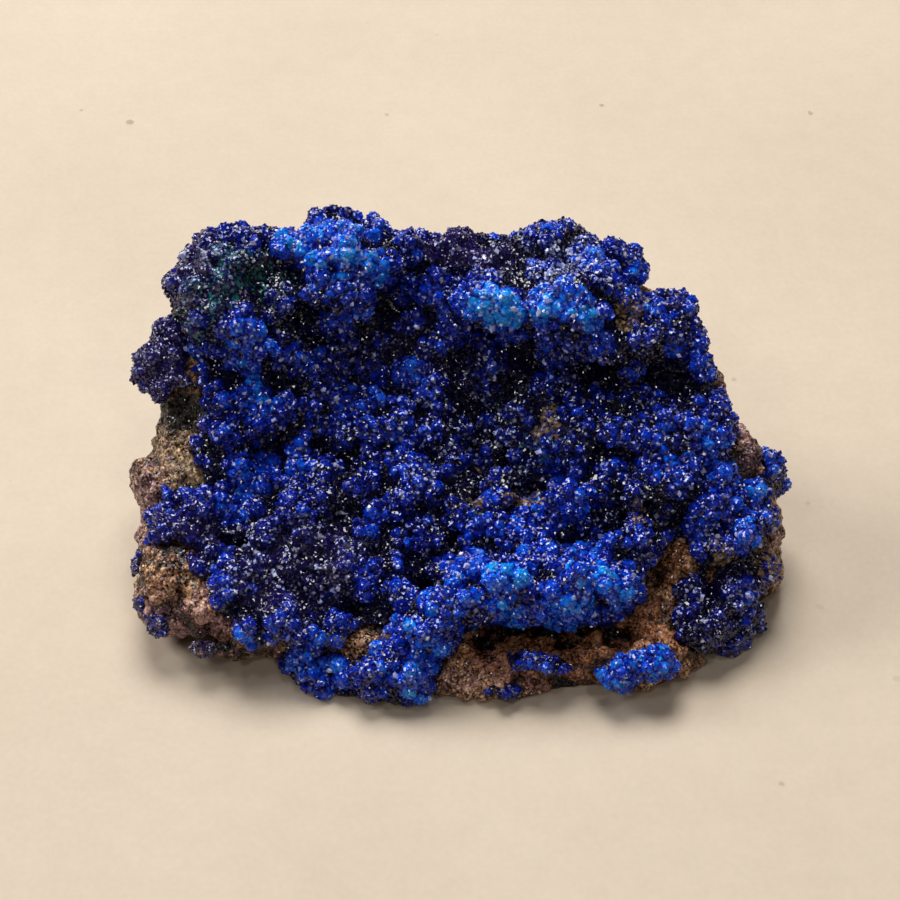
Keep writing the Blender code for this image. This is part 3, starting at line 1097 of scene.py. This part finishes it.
patchLooks = {
    "left_lobe_druse": ("leftLobe", "violet_azurite", {"light": -0.06, "violet": 0.6}, 16000),
    "left_edge_streak": ("leftEdgeStreak", "violet_azurite", {"violet": 0.4, "dust": 0.25}, 6000),
    "rim_patch": ("rimPatch", "violet_azurite", {"light": -0.05, "violet": 0.6, "dust": 0.3}, 3000),
    "ledge_patch": ("ledgePatch", "bright_azurite", {"light": 0.1, "violet": 0.15, "dust": 0.22}, 5000),
    "lower_rim_patch": ("lowerRimPatch", "azurite", {"violet": 0.2, "green": 0.25, "dust": 0.2}, 3000),
    "foot_cluster": ("footCluster", "bright_azurite", {"light": 0.36}, 6000),
}
lowGrowths = "leftEdgeStreak", "rimPatch", "lowerRimPatch", "ledgePatch"
lowPatchSizes = {
    **patchSizes,
    "lumps": {**patchSizes["lumps"], "Inset": 0.8 * mm},
    "nodules": {**patchSizes["nodules"], "Spacing": 0.8 * mm, "Smallest": 0.35 * mm, "Largest": 0.75 * mm},
}
for seed, (node, (name, slot, shift, triangles)) in enumerate(patchLooks.items()):
    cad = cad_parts[node]
    sizes = lowPatchSizes if name in lowGrowths else patchSizes
    base, balls = knobblySkin(
        cad, name + "Base", sizes, rock, 40 + seed, triangles, azurite, azuriteZones, shift
    )
    piece = grownOn(base, crystals, name, patchSizes["crystals"], 40 + seed, rock, keepSkin=True)
    balls.mark(piece.data)
    bpy.data.objects.remove(base)
    finishPiece(piece, node)

rockSizes = {
    "cell": 0.5 * mm,
    "lumps": {
        "Inset": 0.55 * mm,
        "Hollow Depth": 3.5 * mm,
        "Big Cell": 5.0 * mm,
        "Big Height": 1.2 * mm,
        "Small Cell": 1.8 * mm,
        "Small Height": 0.5 * mm,
        "Grain Size": 1.0 * mm,
        "Grain Height": 0.4 * mm,
        "Reach": 0.7 * mm,
    },
    "nodules": {
        "Spacing": 0.85 * mm,
        "Smallest": 0.3 * mm,
        "Largest": 0.85 * mm,
        "Clear": 0.36 * mm,
        "Bare Gap": 0.1,
    },
    "fusedCell": 0.3 * mm,
    "triangles": 190000,
    "chips": {
        "Grain Size": 0.4 * mm,
        "Grain Height": 0.3 * mm,
        "Reach": 0.5 * mm,
    },
}
stone, balls = knobblySkin(
    rock, "rock", rockSizes, mainDruse, 90, rockSizes["triangles"], brownRock, rockZones, {}
)
balls.mark(stone.data)
finishPiece(stone, "matrix")

floorLook = {
    "dark": (0.62, 0.515, 0.395),
    "light": (0.71, 0.6, 0.47),
    "pit": (0.3, 0.22, 0.14, 1),
    "pitSpacing": 9 * mm,
    "pitStrength": 0.6,
    "cloud": 0.055,  # sizes of the three patterns, in metres
    "fine": 0.004,
    "grit": 0.0009,
    "warpSize": 0.002,
    "warp": 0.0016,
    "roughness": 0.7,
    "halfSize": 1.5,
}


def floorMaterial():
    material, graph = newMaterial("paleTable")
    place = graph.node("ShaderNodeTexCoord", out="Object")
    cloud = graph.noise(place, floorLook["cloud"], 4.0)
    fine = graph.noise(place, floorLook["fine"], 3.0)
    grit = graph.noise(place, floorLook["grit"], 2.0)
    stops = ((0.3, floorLook["dark"]), (0.7, floorLook["light"]))
    mixed = cloud * 0.6 + fine * 0.25 + grit * 0.3 - 0.075
    ramp = graph.node("ShaderNodeValToRGB", {"stops": stops}, {"Fac": mixed})
    warp = graph.noise(place, floorLook["warpSize"], 2.0, "Color")
    values = {
        "Vector": graph.vector("ADD", place, graph.vector("SCALE", warp, scale=floorLook["warp"])),
        "Scale": 1 / floorLook["pitSpacing"],
    }
    distance = graph.node("ShaderNodeTexVoronoi", {"feature": "F1"}, values, "Distance")
    number = graph.node("ShaderNodeSeparateXYZ", None, {0: distance.other("Color")})
    pit = graph.ease(distance, 0.07, 0.04) * graph.ease(number, 0.6, 0.9) * floorLook["pitStrength"]
    colour = graph.blend(pit, ramp, floorLook["pit"])
    values = {"Base Color": colour, "Roughness": floorLook["roughness"]}
    shader = graph.node("ShaderNodeBsdfPrincipled", None, values)
    graph.node("ShaderNodeOutputMaterial", None, {"Surface": shader})
    return material


bm = bmesh.new()
bmesh.ops.create_grid(bm, x_segments=1, y_segments=1, size=floorLook["halfSize"])
floorMesh = bpy.data.meshes.new("table")
bm.to_mesh(floorMesh)
bm.free()
floor = newPiece("table", floorMesh)
floor.data.materials.append(floorMaterial())


def aimed(thing, target):
    thing.rotation_mode = "QUATERNION"
    thing.rotation_quaternion = (Vector(target) - thing.location).to_track_quat("-Z", "Y")


# place, width, power, colour
lights = {
    "keyLight": ((-0.08, 0.66, 1.1), 0.75, 14.6, (1, 0.985, 0.96)),
    "leftLight": ((-1.05, 0.4, 0.8), 0.6, 9.6, (0.98, 0.98, 1)),
    "frontLight": ((-0.45, -0.6, 1.0), 0.16, 1.0, (1, 0.96, 0.9)),
    "topLight": ((0.25, -0.2, 1.3), 0.16, 1.0, (0.96, 0.97, 1)),
    "lowLight": ((0.35, -0.85, 0.8), 0.14, 0.75, (1, 0.96, 0.9)),
}
lightTarget = (0, 0, 0.015)
room = {"colour": (1, 0.84, 0.66, 1), "brightness": 0.05}

for name, (place, width, power, colour) in lights.items():
    light = bpy.data.lights.new(name, "AREA")
    light.shape = "DISK"
    light.size = width
    light.energy = power
    light.color = colour
    lamp = bpy.data.objects.new(name, light)
    bpy.context.scene.collection.objects.link(lamp)
    lamp.location = place
    aimed(lamp, lightTarget)

world = bpy.data.worlds.new("softRoom")
bpy.context.scene.world = world
world.use_nodes = True
background = world.node_tree.nodes["Background"]
background.inputs["Color"].default_value = room["colour"]
background.inputs["Strength"].default_value = room["brightness"]

cameraLook = {
    "lens": 100,
    "sensor": 36,
    "place": (-0.00097, -0.24198, 0.26157),
    "target": (-0.00097, -0.00439, 0.02398),
}
camera = bpy.data.objects.new("camera", bpy.data.cameras.new("camera"))
bpy.context.scene.collection.objects.link(camera)
camera.data.lens = cameraLook["lens"]
camera.data.sensor_width = cameraLook["sensor"]
camera.location = cameraLook["place"]
aimed(camera, cameraLook["target"])
bpy.context.scene.camera = camera
bpy.context.scene.view_settings.view_transform = "Standard"
print("table, lights and camera are set")
